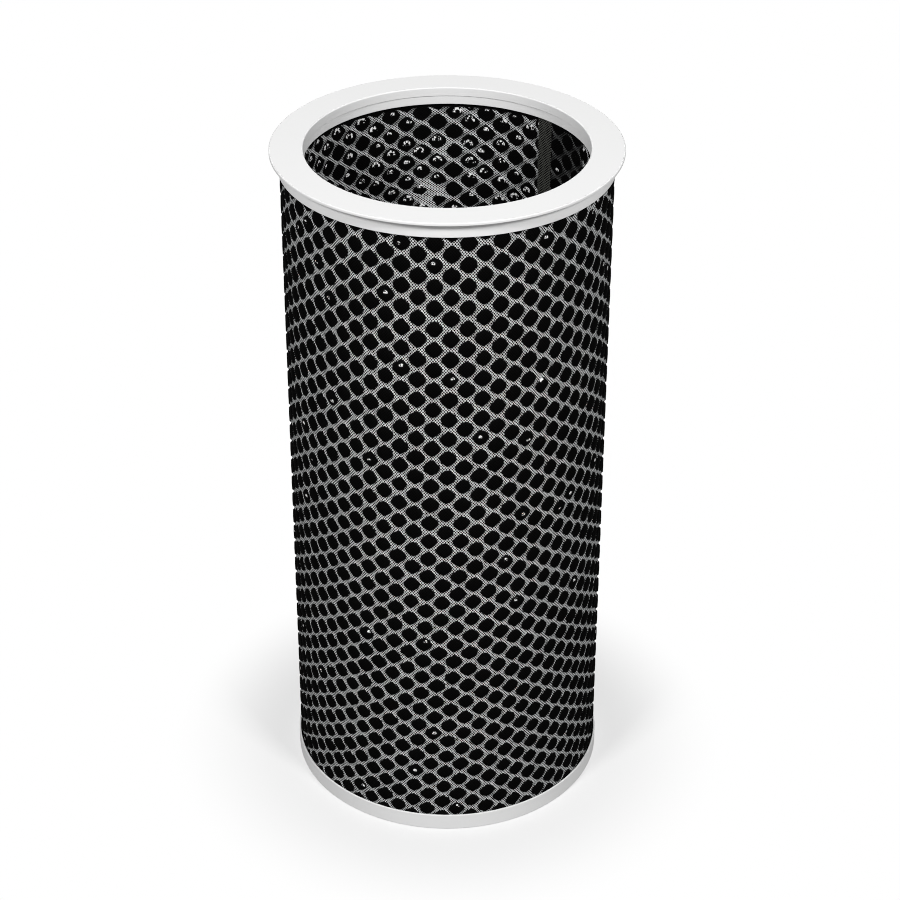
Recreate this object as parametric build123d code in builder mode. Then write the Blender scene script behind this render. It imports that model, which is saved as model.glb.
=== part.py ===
from build123d import *
from math import degrees, radians
import os

# Cylindrical activated carbon cartridge of an air purifier. A panel of honeycomb, filled with
# carbon granules and faced with woven mesh, is rolled into a tube, and each end of the tube is
# potted in a moulded plastic ring. The upper ring has the flange that the cartridge hangs or
# seals by. The tube stands on the lower ring, with Z = 0 under it and Z along its axis.

# Driving dimensions, in millimetres and degrees.
overall_height = 344.0
media_radius = 78.0
panel_thickness = 9.6
mesh_wall = 0.3
bond_line = 0.05
cell_width = 15.2
cell_rise = 10.2
cell_dip = 3.4
seam_bearing = 45.5
seam_width = 5.4
lap_angle = 24.0

ring_height = 8.8
ring_web = 1.5
collar_wall = 0.8
skirt_wall = 0.9
bore_step = 0.4
flange_overhang = 3.6
media_clearance = 0.1
potting_depth = 1.2
rim_break = 0.5
edge_break = 0.25

# Radii of the rolled panel, from the outside to the inside.
outer_mesh_bore = media_radius - cell_dip - mesh_wall
core_radius = outer_mesh_bore - bond_line
inner_mesh_radius = media_radius - panel_thickness
inner_mesh_back = inner_mesh_radius + mesh_wall
core_bore_radius = inner_mesh_back + bond_line
lap_radius = inner_mesh_radius - mesh_wall

# The rings clasp the panel from both sides.
collar_bore = media_radius + media_clearance
collar_radius = collar_bore + collar_wall
skirt_radius = lap_radius - media_clearance
lower_bore_radius = skirt_radius - skirt_wall
bore_radius = lower_bore_radius - bore_step

# Heights of the panel's ends and of the stretch of it that shows between the rings.
media_foot = ring_web + potting_depth
media_head = overall_height - media_foot
net_foot = ring_height
net_head = overall_height - ring_height
media_length = media_head - media_foot

# The honeycomb, counted in half cells along the panel and in half rows up it.
seam_half_angle = degrees(seam_width / media_radius) / 2
net_span = 360 - 2 * seam_half_angle
cell_columns = round(radians(net_span) * media_radius / cell_width)
cell_rows = round((net_head - net_foot) / cell_rise)
half_columns = 2 * cell_columns
half_rows = 2 * cell_rows


# Both end rings have the same channel, whose outer wall is the collar and whose inner wall is the
# skirt. The bore steps out halfway down. The upper ring's web runs on outwards as its flange.
def channel_section(web_face, mouth):
    """Half section of a ring's channel, with its web at web_face and its open end at mouth."""
    web_back = web_face + ring_web * (1 if mouth > web_face else -1)
    step = (web_face + mouth) / 2
    with BuildSketch() as section:
        with BuildLine():
            Polyline(
                (bore_radius, web_face),
                (collar_radius, web_face),
                (collar_radius, mouth),
                (collar_bore, mouth),
                (collar_bore, web_back),
                (skirt_radius, web_back),
                (skirt_radius, mouth),
                (lower_bore_radius, mouth),
                (lower_bore_radius, step),
                (bore_radius, step),
                close=True,
            )
        make_face()
    return section.sketch


def circles_at(ring, height):
    """The round edges of a ring that lie at one height, from the smallest to the largest."""
    circles = ring.edges().filter_by(GeomType.CIRCLE)
    level = circles.filter_by_position(Axis.Z, height - 0.01, height + 0.01)
    return level.sort_by(SortBy.RADIUS)


with BuildPart() as top_ring:
    with BuildSketch(Plane.XZ):
        add(channel_section(overall_height, net_head))
        with Locations((collar_radius, overall_height)):
            Rectangle(flange_overhang, ring_web, align=(Align.MIN, Align.MAX))
    revolve(axis=Axis.Z)
    chamfer(circles_at(top_ring, overall_height), rim_break)
    chamfer(circles_at(top_ring, overall_height - ring_web)[-1], edge_break)
    chamfer(circles_at(top_ring, net_head)[-1], edge_break)
top_ring.part.label = "top_ring"

with BuildPart() as bottom_ring:
    with BuildSketch(Plane.XZ):
        add(channel_section(0, net_foot))
    revolve(axis=Axis.Z)
    chamfer(circles_at(bottom_ring, 0), rim_break)
    chamfer(circles_at(bottom_ring, net_foot)[-1], edge_break)
bottom_ring.part.label = "bottom_ring"


# The panel itself is one rigid slab of honeycomb full of granules, rolled until its ends almost
# meet. Glue fills the gap that is left, as a full height strip.
def wall_sector(outer_radius, inner_radius, start_bearing, sweep):
    """Plan of a stretch of tube wall, from one bearing round through a sweep."""
    outer = arc_points(outer_radius, start_bearing, sweep)
    inner = arc_points(inner_radius, start_bearing, sweep)
    with BuildSketch() as plan:
        with BuildLine():
            ThreePointArc(*outer)
            Line(outer[2], inner[2])
            ThreePointArc(*reversed(inner))
            Line(inner[0], outer[0])
        make_face()
    return plan.sketch


def arc_points(radius, start_bearing, sweep):
    """Start, middle and end of an arc about the axis."""
    bearings = (start_bearing, start_bearing + sweep / 2, start_bearing + sweep)
    return [Vector(radius, 0).rotate(Axis.Z, bearing) for bearing in bearings]


seam_start = seam_bearing - seam_half_angle
seam_end = seam_bearing + seam_half_angle

with BuildPart() as honeycomb_core:
    with BuildSketch(Plane.XY.offset(media_foot)):
        add(wall_sector(core_radius, core_bore_radius, seam_end, net_span))
    extrude(amount=media_length)
honeycomb_core.part.label = "honeycomb_core"

with BuildPart() as seam_strip:
    with BuildSketch(Plane.XY.offset(media_foot)):
        add(wall_sector(core_radius, core_bore_radius, seam_start, 2 * seam_half_angle))
    extrude(amount=media_length)
seam_strip.part.label = "seam_strip"

# The inner mesh is a plain sleeve, doubled where its two edges lap beside the seam.
with BuildPart() as inner_mesh:
    with BuildSketch(Plane.XY.offset(media_foot)):
        Circle(inner_mesh_back)
        Circle(inner_mesh_radius, mode=Mode.SUBTRACT)
        add(wall_sector(inner_mesh_radius, lap_radius, seam_start - lap_angle, lap_angle))
    extrude(amount=media_length)
inner_mesh.part.label = "inner_mesh"


# The outer mesh is glued to the cell walls and stands up as a net of ridges over them. Between
# the ridges lie the mouths of the cells, and each of them is one dip of four facets.
def net_point(column, row):
    """A corner of the net, or the bottom of a cell's dip, at a half column and a half row."""
    on_border = column in (0, half_columns) or row in (0, half_rows)
    in_cell = (column + row) % 2 == 0 and not on_border
    radius = media_radius - (cell_dip if in_cell else 0)
    bearing = seam_end + net_span * column / half_columns
    height = net_foot + (net_head - net_foot) * row / half_rows
    return Vector(radius, 0, height).rotate(Axis.Z, bearing)


columns = range(half_columns + 1)
rows = range(half_rows + 1)
net = {(column, row): net_point(column, row) for column in columns for row in rows}


def rim_point(column, height):
    """The same half column at an end of the sleeve, where it is flat inside the ring."""
    return Vector(net[column, 0].X, net[column, 0].Y, height)


def facet(*corners):
    return Face(Wire.make_polygon(corners))


def dip_facets(column, row):
    """Two facets of one quarter of a cell, folded along the ridge between its high corners."""
    low_left = net[column, row]
    low_right = net[column + 1, row]
    up_right = net[column + 1, row + 1]
    up_left = net[column, row + 1]
    if (column + row) % 2 == 0:
        return [facet(low_left, low_right, up_left), facet(low_right, up_right, up_left)]
    return [facet(low_left, low_right, up_right), facet(low_left, up_right, up_left)]


def sleeve_border(column):
    """One straight edge of the sleeve beside the seam, from its foot to its head."""
    middle = [net[column, row] for row in rows]
    return [rim_point(column, media_foot), *middle, rim_point(column, media_head)]


def sleeve_end(height):
    """Flat end of the sleeve, between its outline and the round core."""
    outline = [rim_point(column, height) for column in columns]
    bore = Edge.make_circle(outer_mesh_bore, Plane.XY.offset(height))
    return Face(Wire.make_polygon(outline), [Wire(bore)])


sleeve_faces = [sleeve_end(media_foot), sleeve_end(media_head)]
sleeve_faces.append(facet(*sleeve_border(half_columns), *reversed(sleeve_border(0))))
bore_outline = Edge.make_circle(outer_mesh_bore, Plane.XY.offset(media_foot))
sleeve_faces.append(Face.extrude(bore_outline, Vector(0, 0, media_length)))
for column in range(half_columns):
    foot_corners = (rim_point(column, media_foot), rim_point(column + 1, media_foot))
    sleeve_faces.append(facet(*foot_corners, net[column + 1, 0], net[column, 0]))
    head_corners = (rim_point(column + 1, media_head), rim_point(column, media_head))
    top_row = (net[column, half_rows], net[column + 1, half_rows])
    sleeve_faces.append(facet(*top_row, *head_corners))
    for row in range(half_rows):
        sleeve_faces.extend(dip_facets(column, row))

with BuildPart() as outer_mesh:
    add(Solid(Shell(sleeve_faces)))
outer_mesh.part.label = "outer_mesh"


# Potting compound holds each end of the panel in the channel of its ring.
def potting_plan():
    with BuildSketch() as plan:
        Circle(collar_bore)
        Circle(skirt_radius, mode=Mode.SUBTRACT)
    return plan.sketch


with BuildPart() as bottom_potting:
    with BuildSketch(Plane.XY.offset(ring_web)):
        add(potting_plan())
    extrude(amount=potting_depth)
bottom_potting.part.label = "bottom_potting"

with BuildPart() as top_potting:
    with BuildSketch(Plane.XY.offset(media_head)):
        add(potting_plan())
    extrude(amount=potting_depth)
top_potting.part.label = "top_potting"

finished = (
    top_ring,
    bottom_ring,
    honeycomb_core,
    seam_strip,
    inner_mesh,
    outer_mesh,
    bottom_potting,
    top_potting,
)
os.makedirs("parts", exist_ok=True)
for piece in finished:
    export_step(piece.part, f"parts/{piece.part.label}.step")
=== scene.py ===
import math

import bmesh
import bpy
import numpy as np
from mathutils import Matrix, Vector


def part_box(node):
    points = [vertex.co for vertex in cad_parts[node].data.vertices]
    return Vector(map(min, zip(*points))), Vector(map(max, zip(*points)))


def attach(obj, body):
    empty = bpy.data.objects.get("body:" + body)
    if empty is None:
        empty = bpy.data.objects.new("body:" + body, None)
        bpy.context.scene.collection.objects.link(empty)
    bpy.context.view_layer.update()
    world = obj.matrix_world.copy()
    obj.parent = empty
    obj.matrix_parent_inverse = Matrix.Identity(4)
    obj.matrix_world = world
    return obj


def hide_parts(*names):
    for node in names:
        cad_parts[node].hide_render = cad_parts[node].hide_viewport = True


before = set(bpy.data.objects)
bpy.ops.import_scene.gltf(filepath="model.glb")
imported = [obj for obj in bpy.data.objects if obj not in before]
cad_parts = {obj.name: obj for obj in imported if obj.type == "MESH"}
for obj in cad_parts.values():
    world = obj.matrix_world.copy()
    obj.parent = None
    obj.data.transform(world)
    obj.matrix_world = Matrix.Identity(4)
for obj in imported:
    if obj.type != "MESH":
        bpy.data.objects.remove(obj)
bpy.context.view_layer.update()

# Carbon core. A panel of honeycomb whose cells are packed with granules of activated carbon, rolled
# into a tube. The meshes glued to both its faces hide it, so its plain solid stays.
mm = 0.001
granule_black = (0.002, 0.002, 0.002, 1)
granule_grey = (0.02, 0.02, 0.02, 1)
granule_size = 2.6 * mm
granule_relief = 0.8 * mm
granule_roughness = 0.6
lump_share = 0.6
cloud_share = 0.4
cloud_roughness = 0.15
lumps_in_cloud = 6


class Value:
    """One output of a shader node. Sums with it add Math nodes, and node() adds any other node."""

    def __init__(self, tree, maker=None, output=0):
        self.tree = tree
        self.maker = maker
        self.output = output

    def other(self, output):
        """Another output of the same node."""
        return Value(self.tree, self.maker, output)

    def node(self, kind, settings, inputs, output=0):
        """Adds a node, makes its settings, then gives its sockets their values or links."""
        made = self.tree.nodes.new(kind)
        for name, setting in settings.items():
            setattr(made, name, setting)
        for key, given in dict(inputs).items():
            if isinstance(given, Value):
                self.tree.links.new(given.maker.outputs[given.output], made.inputs[key])
            else:
                made.inputs[key].default_value = given
        return Value(self.tree, made, output)

    def math(self, operation, *others):
        return self.node("ShaderNodeMath", {"operation": operation}, enumerate((self, *others)))

    def __add__(self, other):
        return self.math("ADD", other)

    def __mul__(self, other):
        return self.math("MULTIPLY", other)

    def __sub__(self, other):
        return self.math("SUBTRACT", other)

    def __rsub__(self, other):
        return (self * -1.0) + other

    __radd__ = __add__
    __rmul__ = __mul__

    def ramp(self, low, high):
        """0 up to low and 1 from high on, with a smooth rise between them, or a fall if low is more."""
        if low > high:
            return 1.0 - self.ramp(high, low)
        settings = {"interpolation_type": "SMOOTHSTEP"}
        return self.node("ShaderNodeMapRange", settings, {0: self, 1: low, 2: high})

    def mix(self, under, over):
        """The colour under where this is 0, and the colour over where it is 1."""
        settings = {"data_type": "RGBA", "clamp_factor": True}
        return self.node("ShaderNodeMix", settings, {0: self, 6: under, 7: over}, 2)

    def noise(self, place, size, detail):
        """Smooth noise from 0 to 1, whose lumps are about as wide as size."""
        inputs = {"Vector": place, "Scale": 1 / size, "Detail": detail}
        return self.node("ShaderNodeTexNoise", {}, inputs)

    def cells(self, place, size):
        """The distance to the middle of the nearest grain, for grains that are about size wide."""
        return self.node("ShaderNodeTexVoronoi", {}, {"Vector": place, "Scale": 1 / size})


def new_material(name):
    """A material with an empty node tree, and the value that its nodes start from."""
    material = bpy.data.materials.new(name)
    material.use_nodes = True
    material.node_tree.nodes.clear()
    return material, Value(material.node_tree)


def finish_surface(start, colour, roughness, height, relief, **sockets):
    """Closes a material with one Principled shader, bumped by a height from 0 to 1."""
    bump = start.node("ShaderNodeBump", {}, {"Height": height, "Distance": relief})
    inputs = {"Base Color": colour, "Roughness": roughness, "Normal": bump}
    inputs.update({name.replace("_", " "): value for name, value in sockets.items()})
    shader = start.node("ShaderNodeBsdfPrincipled", {}, inputs)
    start.node("ShaderNodeOutputMaterial", {}, {"Surface": shader})


def rough_filling(name, dark, pale, lump, roughness, relief):
    """A dull filling with lumps of one size: granules, glue or cast compound."""
    material, start = new_material(name)
    place = start.node("ShaderNodeTexCoord", {}, {}, "Object")
    lumps = start.cells(place, lump)
    cloud = start.noise(place, lumps_in_cloud * lump, 3.0)
    colour = (lumps * lump_share + cloud * cloud_share).mix(dark, pale)
    finish_surface(start, colour, roughness + cloud * cloud_roughness, 1 - lumps, relief)
    return material


def dress_solid(node, look):
    """Gives a solid that the frame carries its material."""
    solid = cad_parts[node]
    solid.data.materials.clear()
    solid.data.materials.append(look)


carbon_look = rough_filling(
    "carbon_granules",
    granule_black,
    granule_grey,
    granule_size,
    granule_roughness,
    granule_relief,
)
dress_solid("honeycomb_core", carbon_look)

# Outer mesh. A black monofilament cloth laid over the honeycomb and glued to its cell walls. The
# glue whitens the threads along the walls and draws the cloth down to them, so that it stands up a
# little over the granules in each cell, and its two edges turn down into the seam.
collar_wall = 0.8 * mm
collar_clearance = 0.1 * mm
collar_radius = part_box("bottom_ring")[1].x
collar_bore = collar_radius - collar_wall
media_radius = collar_bore - collar_clearance
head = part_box("top_ring")[1].z
head_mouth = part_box("top_ring")[0].z
cloth_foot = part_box("outer_mesh")[0].z
cloth_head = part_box("outer_mesh")[1].z
cloth_length = cloth_head - cloth_foot
seam_bearing = math.radians(45.5)
seam_half = 2.7 * mm
outer_half_columns = 64
edge_points = 4
hole_scatter = 0.035
lip_scatter = 0.025
least_hole = 0.3
largest_hole = 0.9
same_point = 1 / 4096
same_edge = 0.01 * mm
# The glints are highlights of granules behind the cloth, painted into its colour as white arcs.
glint_scatter_along = 0.9 * mm
glint_scatter_down = 1.1 * mm
glint_above_middle = 1.0 * mm
outer_threads = ((748, 652), (755, -603))
thread_edge = 0.18
thread_crown = 0.08
thread_relief = 0.12 * mm
crossing_lift = 0.15
weave_drift = 1.2
weave_drift_size = 40 * mm
lip_wander = 1.0 * mm
lip_wander_size = 1.3 * mm
lip_fade = (-0.2 * mm, 0.25 * mm)
glue_fade = 0.8 * mm
tone_base = 0.5
fine_tone = 0.6
fine_tone_size = 2.2 * mm
broad_tone = 0.5
broad_tone_size = 8 * mm
spill_core = 0.4
spill_tone = 0.6
film_strength = 0.5
film_size = 4.5 * mm
film_fade = (0.48, 0.72)
bare_fade = (-0.4 * mm, 0.8 * mm)
arc_fade = (0.75 * mm, 0.55 * mm)
upper_arc_fade = (0.8 * mm, 0.2 * mm)
least_arc_fade = (0.1 * mm, 0.2 * mm)
glint_grain = 0.95 * mm
glint_grain_fade = (0.6, 0.5)
cloth_roughness = 0.8
glue_smoothness = 0.2
cloth_specular = 0.02
thread_black = (0.004, 0.004, 0.0041, 1)
gap_black = (0.001, 0.001, 0.001, 1)
bare_thread = (0.12, 0.123, 0.112, 1)
glue_white = (0.9, 0.92, 0.92, 1)
glue_film = (0.12, 0.126, 0.126, 1)
painted_glint_white = (0.95, 0.95, 0.95, 1)


def lattice_point(net, column, row):
    """Where a half column and half row of cells lie on the unrolled cloth, along it and down it."""
    along = net["start"] + net["half_column"] * column + net["lean"] * row
    down = net["middle"] + net["half_row"] * row + net["tilt"] * column
    return along + net["bow"] * row * row, down + net["creep"] * row * row


def cell_tiles(net, random):
    """The cloth laid flat: one diamond tile for each cell, with rings of points round its hole."""
    corners = np.array([(1, 0), (0, 1), (-1, 0), (0, -1)], float)
    share = np.arange(edge_points)[:, None] / edge_points
    sides = [corners[side] * (1 - share) + corners[side - 3] * share for side in range(4)]
    edge = np.concatenate(sides)
    cells = [
        (column, row)
        for column in range(*net["columns"])
        for row in range(*net["rows"])
        if (column + row) % 2 == 0
    ]
    cells = np.array(cells, float)
    reach = np.abs(edge * (net["half_column"], net["half_row"]))
    power = net["power"]
    hole = ((reach / net["hole"]) ** power).sum(axis=1) ** (-1 / power)
    size = 1 + hole_scatter * random.standard_normal((len(cells), 1))
    ragged = 1 + lip_scatter * random.standard_normal((len(cells), len(edge)))
    wall_family = np.broadcast_to((1 + np.sign(edge[:, 0] * edge[:, 1])) / 2, ragged.shape)
    hole_share = np.clip(hole * size * ragged, least_hole, largest_hole)
    span = np.linalg.norm(reach, axis=1)
    middle = cells[:, None, :]
    points = [middle]
    lips = [-(hole_share * span).mean(axis=1, keepdims=True)]
    depths = [np.zeros((len(cells), 1))]
    families = [np.full((len(cells), 1), 0.5)]
    for share_out, depth in net["rings"]:
        out = hole_share * share_out
        points.append(middle + edge * out[..., None])
        lips.append((out - hole_share) * span)
        depths.append(np.full(out.shape, depth))
        families.append(wall_family)
    points.append(middle + edge)
    lips.append((1 - hole_share) * span)
    depths.append(np.full(hole_share.shape, net["wall_depth"]))
    families.append(wall_family)
    return [np.concatenate(group, axis=1) for group in (points, lips, depths, families)]


def painted_glint_places(net, along, down, random):
    """Each point's place from the middle of the glint, a highlight painted into the colour, in its own
    cell, and that glint's radius.
    """
    count = len(along)
    radius = random.uniform(*net["painted_glint_size"], count) * (random.random(count) < net["painted_glints"])
    middle_along = along[:, 0] + random.normal(0, glint_scatter_along, count)
    middle_down = down[:, 0] + random.normal(-glint_above_middle, glint_scatter_down, count)
    off_along = along - middle_along[:, None]
    off_down = down - middle_down[:, None]
    return np.stack([off_along, off_down, np.broadcast_to(radius[:, None], along.shape)], axis=-1)


def tile_faces(rings, around):
    """The faces of one tile: a fan at its middle, then bands from ring to ring."""
    faces = []
    for step in range(around):
        ahead = (step + 1) % around
        faces.append((0, 1 + step, 1 + ahead))
        for ring in range(rings):
            inner = 1 + ring * around
            outer = inner + around
            faces.append((inner + step, outer + step, outer + ahead, inner + ahead))
    return faces


def cut_to(sheet, axis, limit, side):
    """Cuts off what lies past a limit along one axis of the flat sheet."""
    place = Vector((0, 0, 0))
    place[axis] = limit
    outward = Vector((0, 0, 0))
    outward[axis] = side
    everything = [*sheet.verts, *sheet.edges, *sheet.faces]
    bmesh.ops.bisect_plane(
        sheet, geom=everything, plane_co=place, plane_no=outward, clear_outer=True
    )


def flat_cloth(name, net, random):
    """The net of cells as one flat mesh, cut to the panel's edges and ends."""
    points, lips, depths, families = cell_tiles(net, random)
    count = points.shape[1]
    along, down = lattice_point(net, points[..., 0], points[..., 1])
    painted_glints = painted_glint_places(net, along, down, random)
    keys = np.round(points.reshape(-1, 2) / same_point)
    _, first, merged = np.unique(keys, axis=0, return_index=True, return_inverse=True)
    merged = merged.reshape(-1)
    corners = np.stack([along, down, -depths], axis=-1).reshape(-1, 3)[first]
    template = tile_faces(len(net["rings"]), 4 * edge_points)
    sheet = bmesh.new()
    lip_layer = sheet.verts.layers.float.new("lip")
    family_layer = sheet.verts.layers.float.new("family")
    painted_glint_layer = sheet.verts.layers.float_vector.new("glint")
    made = [sheet.verts.new(corner) for corner in corners]
    kept = [group.reshape(-1)[first] for group in (lips, families)]
    for vertex, lip, family, glint in zip(made, *kept, painted_glints.reshape(-1, 3)[first]):
        vertex[lip_layer] = lip
        vertex[family_layer] = family
        vertex[painted_glint_layer] = glint
    for tile in range(len(points)):
        for face in template:
            sheet.faces.new([made[merged[tile * count + corner]] for corner in face])
    for axis, limits in ((0, net["edges"]), (1, net["ends"])):
        for limit, side in zip(limits, (-1, 1)):
            cut_to(sheet, axis, limit, side)
    mesh = bpy.data.meshes.new(name)
    sheet.to_mesh(mesh)
    sheet.free()
    return mesh


def placed(name, contents):
    """Puts a mesh, a lamp or a camera into the scene as an object."""
    made = bpy.data.objects.new(name, contents)
    bpy.context.scene.collection.objects.link(made)
    return made


def rolled_cloth(name, net, random):
    """The flat cloth with its hems turned down, rolled into a tube, and its unrolled places kept."""
    mesh = flat_cloth(name, net, random)
    flat = np.zeros(len(mesh.vertices) * 3)
    mesh.vertices.foreach_get("co", flat)
    flat = flat.reshape(-1, 3)
    wrap = mesh.attributes.new("wrap", "FLOAT_VECTOR", "POINT")
    wrap.data.foreach_set("vector", (flat * (1, 1, 0)).astype(np.float32).ravel())
    spread = (flat[:, :2] - flat[:, :2].min(axis=0)) / np.ptp(flat[:, :2], axis=0)
    loop_points = np.zeros(len(mesh.loops), np.int32)
    mesh.loops.foreach_get("vertex_index", loop_points)
    unrolled = mesh.uv_layers.new(name="OFBake")
    unrolled.uv.foreach_set("vector", spread[loop_points].astype(np.float32).ravel())
    for edge in net["edges"]:
        flat[np.abs(flat[:, 0] - edge) < same_edge, 2] = -net["hem_depth"]
    radius = net["radius"] + net["outward"] * flat[:, 2]
    bearing = flat[:, 0] / net["radius"] - math.pi / 2
    height = head - flat[:, 1]
    rolled = np.stack([radius * np.cos(bearing), radius * np.sin(bearing), height], axis=1)
    mesh.vertices.foreach_set("co", rolled.astype(np.float32).ravel())
    if net["outward"] > 0:
        mesh.flip_normals()
    mesh.shade_smooth()
    mesh.update()
    return placed(name, mesh)


def attribute(start, name, output):
    """A value that the cloth's points carry."""
    return start.node("ShaderNodeAttribute", {"attribute_name": name}, {}, output)


def separate(start, vector):
    """The first number of a vector, whose other outputs are the second and the third."""
    return start.node("ShaderNodeSeparateXYZ", {}, {0: vector})


def woven(start, wrap, threads):
    """The height of a plain weave, 1 on top of a thread and 0 in the holes between them. Each set of
    threads is given as how many of them a metre along the cloth crosses, and a metre down it."""
    place = separate(start, wrap)
    drift = start.noise(wrap, weave_drift_size, 1.0) * weave_drift
    rising, falling = [place * along + place.other(1) * down + drift for along, down in threads]
    over = (rising * math.pi).math("COSINE") * (falling * math.pi).math("COSINE")
    level = 1 - crossing_lift
    rising_thread = rising.math("PINGPONG", 0.5).ramp(thread_edge, thread_crown)
    falling_thread = falling.math("PINGPONG", 0.5).ramp(thread_edge, thread_crown)
    rising_height = rising_thread * (level + over * crossing_lift)
    falling_height = falling_thread * (level - over * crossing_lift)
    return rising_height.math("MAXIMUM", falling_height)


def glue_tone(start, wrap, net):
    """How white the glue is, which changes from place to place, and between both sets of walls, where
    one set is painted lit and the other painted in shade.
    """
    fine = start.noise(wrap, fine_tone_size, 3.0) * fine_tone
    broad = start.noise(wrap, broad_tone_size, 1.0) * broad_tone
    # Painted light and shade: one set of walls is made lighter and the other darker, as if light fell
    # across them from one side.
    falling_wall, rising_wall = net["painted_wall_lighting"]
    wall = falling_wall + attribute(start, "family", "Fac") * (rising_wall - falling_wall)
    return (tone_base + fine + broad) * wall


def painted_glint_arcs(start, wrap):
    """1 on the small arcs where highlights of granules catching the light through the cloth are painted
    into the colour.
    """
    off_glint = separate(start, attribute(start, "glint", "Vector"))
    off_down = off_glint.other(1)
    radius = off_glint.other(2)
    distance = (off_glint * off_glint + off_down * off_down).math("SQRT")
    arc = (distance - radius).math("ABSOLUTE").ramp(*arc_fade) * off_down.ramp(*upper_arc_fade)
    grain = start.cells(wrap, glint_grain).ramp(*glint_grain_fade)
    return arc * grain * radius.ramp(*least_arc_fade)


def glued_cloth(name, net, threads, whiteness, spills=(), bare_edge=None):
    """Black cloth over carbon, whitened by glue along the cell walls and where glue has spilt, with
    highlights of the granules behind it painted on as white arcs. Past a bare edge it has neither glue
    nor carbon behind it, and its threads look grey."""
    material, start = new_material(name)
    wrap = attribute(start, "wrap", "Vector")
    thread = woven(start, wrap, threads)
    tone = glue_tone(start, wrap, net)
    wander = (start.noise(wrap, lip_wander_size, 1.0) - 0.5) * lip_wander
    past_lip = attribute(start, "lip", "Fac") + wander
    for middle, reach, spread in spills:
        ends = {0: wrap, 1: middle}
        apart = start.node("ShaderNodeVectorMath", {"operation": "DISTANCE"}, ends, "Value")
        spilt = apart.ramp(reach, reach * spill_core)
        past_lip = past_lip + spilt * spread
        tone = tone + spilt * spill_tone
    place = separate(start, wrap)
    glued = place.other(1).ramp(net["glue_from"], net["glue_from"] + glue_fade)
    cloth_colour = thread.mix(gap_black, thread_black)
    if bare_edge is not None:
        backed = place.ramp(bare_edge + bare_fade[0], bare_edge + bare_fade[1])
        glued = glued * backed
        cloth_colour = backed.mix(thread.mix(gap_black, bare_thread), cloth_colour)
    # Painted highlight: white arcs where granules catch the light through the cloth.
    cloth_colour = (painted_glint_arcs(start, wrap) * glued).mix(cloth_colour, painted_glint_white)
    film = start.noise(wrap, film_size, 3.0).ramp(*film_fade)
    gap_colour = (film * film_strength * whiteness).mix(gap_black, glue_film)
    glue_colour = (thread * tone * whiteness).mix(gap_colour, glue_white)
    band = past_lip.ramp(*lip_fade) * glued
    colour = band.mix(cloth_colour, glue_colour)
    roughness = cloth_roughness - band * glue_smoothness
    finish_surface(
        start,
        colour,
        roughness,
        thread,
        thread_relief,
        Specular_IOR_Level=cloth_specular,
    )
    return material


outer_edges = (
    (seam_bearing + math.pi / 2 - 2 * math.pi) * media_radius + seam_half,
    (seam_bearing + math.pi / 2) * media_radius - seam_half,
)
outer_width = outer_edges[1] - outer_edges[0]
outer_net = {
    "radius": media_radius,
    "outward": 1,
    "start": -1.4 * mm,
    "middle": 174.3 * mm,
    "half_column": outer_width / outer_half_columns,
    "half_row": 5.075 * mm,
    "lean": -0.196 * mm,
    "bow": -0.00275 * mm,
    "tilt": -0.0725 * mm,
    "creep": -0.00463 * mm,
    "columns": (-44, 28),
    "rows": (-37, 38),
    "hole": (4.2 * mm, 4.4 * mm),
    "power": 1.5,
    "rings": ((0.84, 0.12 * mm), (1.0, 0.75 * mm)),
    "wall_depth": 0.9 * mm,
    "hem_depth": 1.5 * mm,
    "painted_wall_lighting": (1.1, 0.8),
    "painted_glints": 0.06,
    "painted_glint_size": (0.25 * mm, 0.5 * mm),
    "glue_from": head - head_mouth,
    "edges": outer_edges,
    "ends": (head - cloth_head, head - cloth_foot),
}
outer_cloth = rolled_cloth("outer_cloth", outer_net, np.random.default_rng(7))
outer_cloth.data.materials.append(glued_cloth("outer_cloth_glued", outer_net, outer_threads, 1.0))
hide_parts("outer_mesh")
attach(outer_cloth, "root")

# Inner mesh. The same cloth glued inside the tube, round a honeycomb sheet of wider cells, where
# highlights of the carbon granules glittering through it are painted into the cloth's colour. Its edges
# lap beside the seam, over a strip without glue.
mesh_thickness = 0.3 * mm
inner_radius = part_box("inner_mesh")[1].x - mesh_thickness
lap_radius = inner_radius - mesh_thickness
inner_turn = 2 * math.pi * inner_radius
lap_start = math.radians(109.5) * inner_radius
lap_end = math.radians(132) * inner_radius
bare_edge = math.radians(139.5) * inner_radius - inner_turn
lap_whiteness = 0.12
inner_threads = ((640, 765), (648, -765))
glue_spills = (
    ((-206.5 * mm, 57 * mm, 0), 10 * mm, 2.0 * mm),
    ((-214.5 * mm, 34 * mm, 0), 7 * mm, 0.6 * mm),
)
inner_net = {
    **outer_net,
    "radius": inner_radius,
    "outward": -1,
    "start": -210.24 * mm,
    "middle": 39.55 * mm,
    "half_column": 7.904 * mm,
    "half_row": 5.1975 * mm,
    "lean": 0.0544 * mm,
    "bow": 0,
    "tilt": 0.0456 * mm,
    "creep": 0,
    "columns": (-10, 50),
    "rows": (-10, 62),
    "hole": (4.7 * mm, 4.4 * mm),
    "power": 1.45,
    "rings": ((0.82, 0.03 * mm), (1.0, 0.15 * mm)),
    "wall_depth": 0.2 * mm,
    "hem_depth": 0.2 * mm,
    "painted_wall_lighting": (0.42, 1.35),
    "painted_glints": 0.75,
    "painted_glint_size": (0.4 * mm, 1.9 * mm),
    # The extra 1.8 mm leaves the cloth black just under the skirt's mouth, a band of painted shade from
    # the skirt.
    "glue_from": head - head_mouth + 1.8 * mm,
    "edges": (lap_end - inner_turn, lap_end),
}
lap_net = {
    **inner_net,
    "radius": lap_radius,
    "painted_glints": 0.2,
    "edges": (lap_start, lap_end),
    "columns": (40, 50),
}
inner_cloth = rolled_cloth("inner_cloth", inner_net, np.random.default_rng(11))
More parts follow.
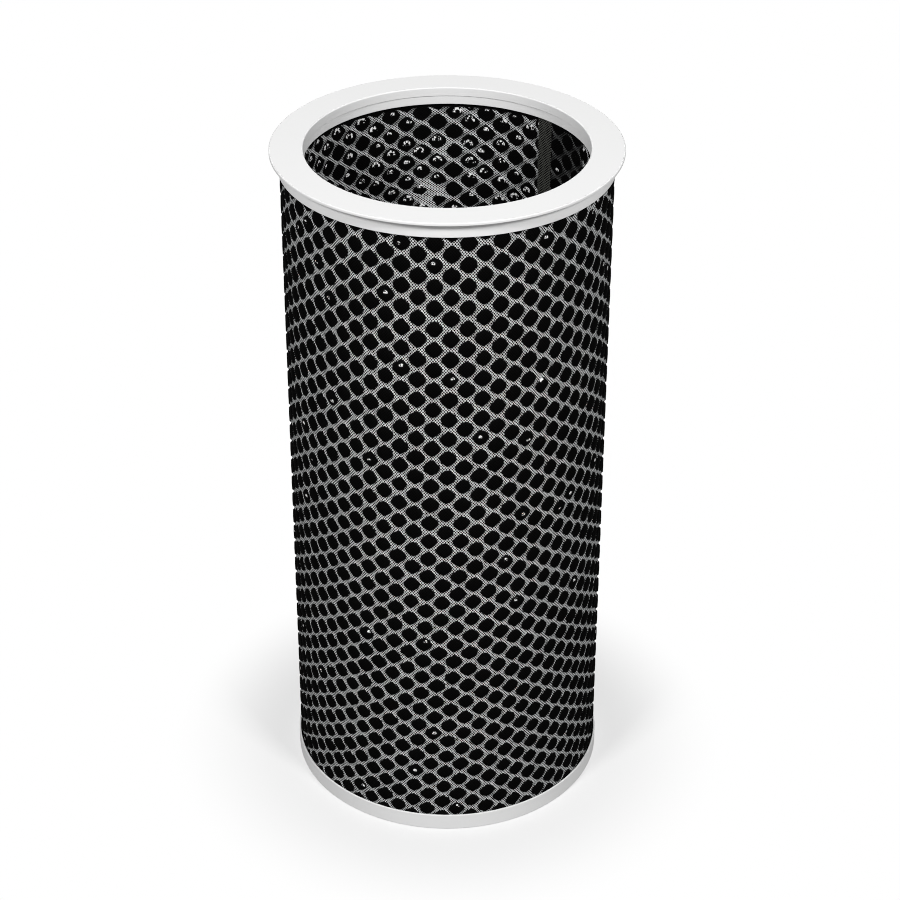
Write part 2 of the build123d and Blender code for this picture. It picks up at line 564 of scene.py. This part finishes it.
inner_look = glued_cloth(
    "inner_cloth_glued",
    inner_net,
    inner_threads,
    1.0,
    spills=glue_spills,
    bare_edge=bare_edge,
)
inner_cloth.data.materials.append(inner_look)
inner_lap = rolled_cloth("inner_lap", lap_net, np.random.default_rng(13))
lap_look = glued_cloth("inner_lap_glued", lap_net, inner_threads, lap_whiteness)
inner_lap.data.materials.append(lap_look)
for cloth, width in ((inner_cloth, inner_turn), (inner_lap, lap_end - lap_start)):
    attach(cloth, "root")
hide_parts("inner_mesh")

# Seam. Black glue fills the gap between the ends of the rolled panel. It sinks as it sets, and leaves
# a hollow bead from ring to ring, which shows as a dark furrow between the cloth's two edges.
glue_dark = (0.012, 0.012, 0.011, 1)
glue_grey = (0.07, 0.07, 0.065, 1)
glue_lump = 1.6 * mm
glue_relief = 0.3 * mm
glue_roughness = 0.5
bead_shoulder = media_radius - outer_net["hem_depth"]
bead_half = seam_half + 0.5 * mm
bead_hollow = 0.9 * mm
bead_steps = 12
bead_rise = 3.5 * mm
bead_wander = 0.12 * mm
bead_wander_rise = 7 * mm


def smooth_mesh(name, corners, faces):
    """A smooth mesh made from arrays of its corners and its faces."""
    mesh = bpy.data.meshes.new(name)
    mesh.from_pydata(corners.reshape(-1, 3).tolist(), [], faces.reshape(-1, 4).tolist())
    mesh.shade_smooth()
    return mesh


def seam_bead(name):
    """The bead, a strip that is hollow across and wanders a little on its way up."""
    rises = math.ceil(cloth_length / bead_rise)
    across = np.linspace(-1, 1, bead_steps + 1)
    heights = np.linspace(cloth_foot, cloth_head, rises + 1)
    level, side = np.meshgrid(heights, across, indexing="ij")
    wander = bead_wander * np.sin(level / bead_wander_rise) * (1 - side**2)
    radius = bead_shoulder - bead_hollow * (1 - side**2) + wander
    bearing = seam_bearing + side * bead_half / media_radius
    corners = np.stack([radius * np.cos(bearing), radius * np.sin(bearing), level], axis=-1)
    row, step = np.meshgrid(np.arange(rises), np.arange(bead_steps), indexing="ij")
    low = row * (bead_steps + 1) + step
    high = low + bead_steps + 1
    faces = np.stack([low, low + 1, high + 1, high], axis=-1)
    return placed(name, smooth_mesh(name, corners, faces))


glue_look = rough_filling(
    "seam_glue_dull", glue_dark, glue_grey, glue_lump, glue_roughness, glue_relief
)
dress_solid("seam_strip", glue_look)
bead = seam_bead("seam_bead")
bead.data.materials.append(glue_look)
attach(bead, "root")

# Potting. Cream compound, cast round both ends of the tube in the channels of the rings, holds the
# tube and seals it. The rings hide it.
potting_dark = (0.62, 0.6, 0.5, 1)
potting_pale = (0.75, 0.72, 0.63, 1)
potting_lump = 5 * mm
potting_relief = 0.1 * mm
potting_roughness = 0.45
potting_look = rough_filling(
    "potting_cast",
    potting_dark,
    potting_pale,
    potting_lump,
    potting_roughness,
    potting_relief,
)
for node in ("top_potting", "bottom_potting"):
    dress_solid(node, potting_look)

# End rings. Two mouldings in satin white plastic, each a channel that clasps one end of the tube
# between an outer collar and an inner skirt. The upper one has a flange to hang or seal by, and
# both bores step out halfway along, which leaves a faint line round the wall.
ring_white = (0.9, 0.9, 0.9, 1)
ring_shade = (0.84, 0.84, 0.835, 1)
plastic_cloud = 40 * mm
plastic_grain = 0.6 * mm
plastic_relief = 0.02 * mm
cloud_shade = 0.5
grain_shade = 0.15
plastic_roughness = 0.46
cloud_gloss = 0.12
grain_gloss = 0.04
ring_web = 1.5 * mm
skirt_wall = 0.9 * mm
bore_step = 0.4 * mm
channel_width = 10.1 * mm
rim_round = 0.55 * mm
edge_round = 0.3 * mm
root_round = 0.15 * mm
step_round = 0.2 * mm
ring_turns = 320
round_steps = 6
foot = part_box("bottom_ring")[0].z
foot_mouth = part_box("bottom_ring")[1].z
flange_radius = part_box("top_ring")[1].x
flange_back = head - ring_web
skirt_radius = collar_bore - channel_width
lower_bore_radius = skirt_radius - skirt_wall
bore_radius = lower_bore_radius - bore_step


def satin_white(name):
    """Moulded white plastic: faintly cloudy, with a fine grain and a soft sheen that varies."""
    material, start = new_material(name)
    place = start.node("ShaderNodeTexCoord", {}, {}, "Object")
    cloud = start.noise(place, plastic_cloud, 3.0)
    grain = start.noise(place, plastic_grain, 2.0)
    colour = (cloud * cloud_shade + grain * grain_shade).mix(ring_white, ring_shade)
    roughness = plastic_roughness + cloud * cloud_gloss + grain * grain_gloss
    finish_surface(start, colour, roughness, grain, plastic_relief)
    return material


def rounded(outline):
    """The outline's points, (radius, height, round), with each corner turned into a small arc."""
    points = []
    for at, (radius, height, corner) in enumerate(outline):
        here = Vector((radius, height))
        back = (Vector(outline[at - 1][:2]) - here).normalized()
        ahead = (Vector(outline[(at + 1) % len(outline)][:2]) - here).normalized()
        half = back.angle(ahead) / 2
        centre = here + (back + ahead).normalized() * (corner / math.sin(half))
        first = (here + back * (corner / math.tan(half)) - centre).normalized()
        last = (here + ahead * (corner / math.tan(half)) - centre).normalized()
        for step in range(round_steps + 1):
            points.append(centre + first.slerp(last, step / round_steps) * corner)
    return points


def turned(name, outline):
    """A ring made by turning a closed outline about the axis."""
    section = np.array([tuple(point) for point in rounded(outline)])
    bearings = np.arange(ring_turns) * 2 * math.pi / ring_turns
    around = np.stack([np.cos(bearings), np.sin(bearings)], axis=1)
    flat = around[:, None, :] * section[None, :, :1]
    heights = np.broadcast_to(section[None, :, 1:], flat.shape[:2] + (1,))
    corners = np.concatenate([flat, heights], axis=2)
    count = len(section)
    turn, point = np.meshgrid(np.arange(ring_turns), np.arange(count), indexing="ij")
    here = turn * count
    ahead = (turn + 1) % ring_turns * count
    next_point = (point + 1) % count
    sides = [here + point, ahead + point, ahead + next_point, here + next_point]
    ring = placed(name, smooth_mesh(name, corners, np.stack(sides, axis=-1)))
    ring.modifiers.new("flat_faces", "WEIGHTED_NORMAL")
    return ring


def channel(web_face, mouth):
    """Outline of a ring's channel, from the mouth's outer corner round to the bore."""
    web_back = web_face + math.copysign(ring_web, mouth - web_face)
    step = (web_face + mouth) / 2
    return [
        (collar_radius, mouth, edge_round),
        (collar_bore, mouth, root_round),
        (collar_bore, web_back, root_round),
        (skirt_radius, web_back, root_round),
        (skirt_radius, mouth, root_round),
        (lower_bore_radius, mouth, edge_round),
        (lower_bore_radius, step, step_round),
        (bore_radius, step, step_round),
        (bore_radius, web_face, rim_round),
    ]


flange = [
    (flange_radius, head, rim_round),
    (flange_radius, flange_back, edge_round),
    (collar_radius, flange_back, root_round),
]
upper_ring = turned("upper_ring", channel(head, head_mouth) + flange)
lower_ring = turned("lower_ring", channel(foot, foot_mouth) + [(collar_radius, foot, rim_round)])
for ring, node in ((upper_ring, "top_ring"), (lower_ring, "bottom_ring")):
    ring.data.materials.append(satin_white(node + "_white"))
    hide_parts(node)
    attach(ring, "root")

# Studio. A pale floor that turns into the white background a little way off, a soft lamp at either
# side of the camera, a weak one overhead, and the camera at the photograph's place.
floor_half = 6.0
paper_grey = (0.25, 0.25, 0.25, 1)
paper_pale = (0.83, 0.83, 0.83, 1)
plain_white = (1, 1, 1, 1)
foot_haze = 0.5
haze_fade = (0.085, 0.15)
sky_strength = 0.24
side_lamp_size = 0.5
side_lamp_watts = 35
top_lamp_size = 1.2
top_lamp_watts = 7
lamp_target = (0, 0, 0.2)
camera_place = (-1.0 * mm, -1016.2 * mm, 803.0 * mm)
camera_pitch = 0.55128
camera_yaw = -0.00236
camera_roll = 0.00068
camera_lens = 95.697
camera_sensor = 36
camera_clip = 0.01


def floor_paper(name):
    """Pale paper round the foot, which turns white to the camera and stays grey to the lamps."""
    material, start = new_material(name)
    spot = start.node("ShaderNodeTexCoord", {}, {}, "Object")
    away = start.node("ShaderNodeVectorMath", {"operation": "LENGTH"}, {0: spot}, "Value")
    seen = start.node("ShaderNodeLightPath", {}, {}, "Is Camera Ray")
    paper_colour = seen.mix(paper_grey, paper_pale)
    paper = start.node("ShaderNodeBsdfDiffuse", {}, {"Color": paper_colour})
    white = start.node("ShaderNodeEmission", {}, {"Color": plain_white, "Strength": 1.0})
    fade = (foot_haze + away.ramp(*haze_fade) * (1 - foot_haze)) * seen
    both = start.node("ShaderNodeMixShader", {}, {0: fade, 1: paper, 2: white})
    start.node("ShaderNodeOutputMaterial", {}, {"Surface": both})
    return material


def studio_world(name):
    """A dim white sky round the object, which is plain white to the camera."""
    world = bpy.data.worlds.new(name)
    world.use_nodes = True
    world.node_tree.nodes.clear()
    start = Value(world.node_tree)
    seen = start.node("ShaderNodeLightPath", {}, {}, "Is Camera Ray")
    sky = start.node("ShaderNodeBackground", {}, {"Color": plain_white, "Strength": sky_strength})
    backdrop = start.node("ShaderNodeBackground", {}, {"Color": plain_white, "Strength": 1.0})
    both = start.node("ShaderNodeMixShader", {}, {0: seen, 1: sky, 2: backdrop})
    start.node("ShaderNodeOutputWorld", {}, {"Surface": both})
    return world


def soft_lamp(name, place, size, watts):
    """A square area lamp that faces the object."""
    lamp = bpy.data.lights.new(name, "AREA")
    lamp.shape = "SQUARE"
    lamp.size = size
    lamp.energy = watts
    holder = placed(name, lamp)
    holder.location = place
    holder.rotation_euler = (Vector(place) - Vector(lamp_target)).to_track_quat("Z", "Y").to_euler()


def aimed_camera(name):
    """The camera, turned down by its pitch, aside by its yaw and then about its own line of sight."""
    look = Vector(
        (
            -math.sin(camera_yaw) * math.cos(camera_pitch),
            math.cos(camera_yaw) * math.cos(camera_pitch),
            -math.sin(camera_pitch),
        )
    )
    level = Vector((math.cos(camera_yaw), math.sin(camera_yaw), 0))
    rise = level.cross(look)
    right = level * math.cos(camera_roll) + rise * math.sin(camera_roll)
    up = rise * math.cos(camera_roll) - level * math.sin(camera_roll)
    turn = Matrix((right, up, -look)).transposed().to_4x4()
    camera = placed(name, bpy.data.cameras.new(name))
    camera.data.lens = camera_lens
    camera.data.sensor_width = camera_sensor
    camera.data.clip_start = camera_clip
    camera.matrix_world = Matrix.Translation(camera_place) @ turn
    return camera


floor_mesh = bpy.data.meshes.new("floor")
floor_corners = [(x * floor_half, y * floor_half, 0) for x, y in ((-1, -1), (1, -1), (1, 1), (-1, 1))]
floor_mesh.from_pydata(floor_corners, [], [(0, 1, 2, 3)])
floor_mesh.materials.append(floor_paper("floor_paper"))
floor = placed("floor", floor_mesh)
soft_lamp("left_box", (-1.23, -1.58, 1.85), side_lamp_size, side_lamp_watts)
soft_lamp("right_box", (1.23, -1.58, 1.85), side_lamp_size, side_lamp_watts)
soft_lamp("top_box", (0, 0.8, 2.3), top_lamp_size, top_lamp_watts)

scene = bpy.context.scene
scene.world = studio_world("studio")
scene.camera = aimed_camera("camera")
scene.view_settings.view_transform = "Standard"
scene.cycles.denoising_prefilter = "NONE"
scene.cycles.filter_width = 1.0
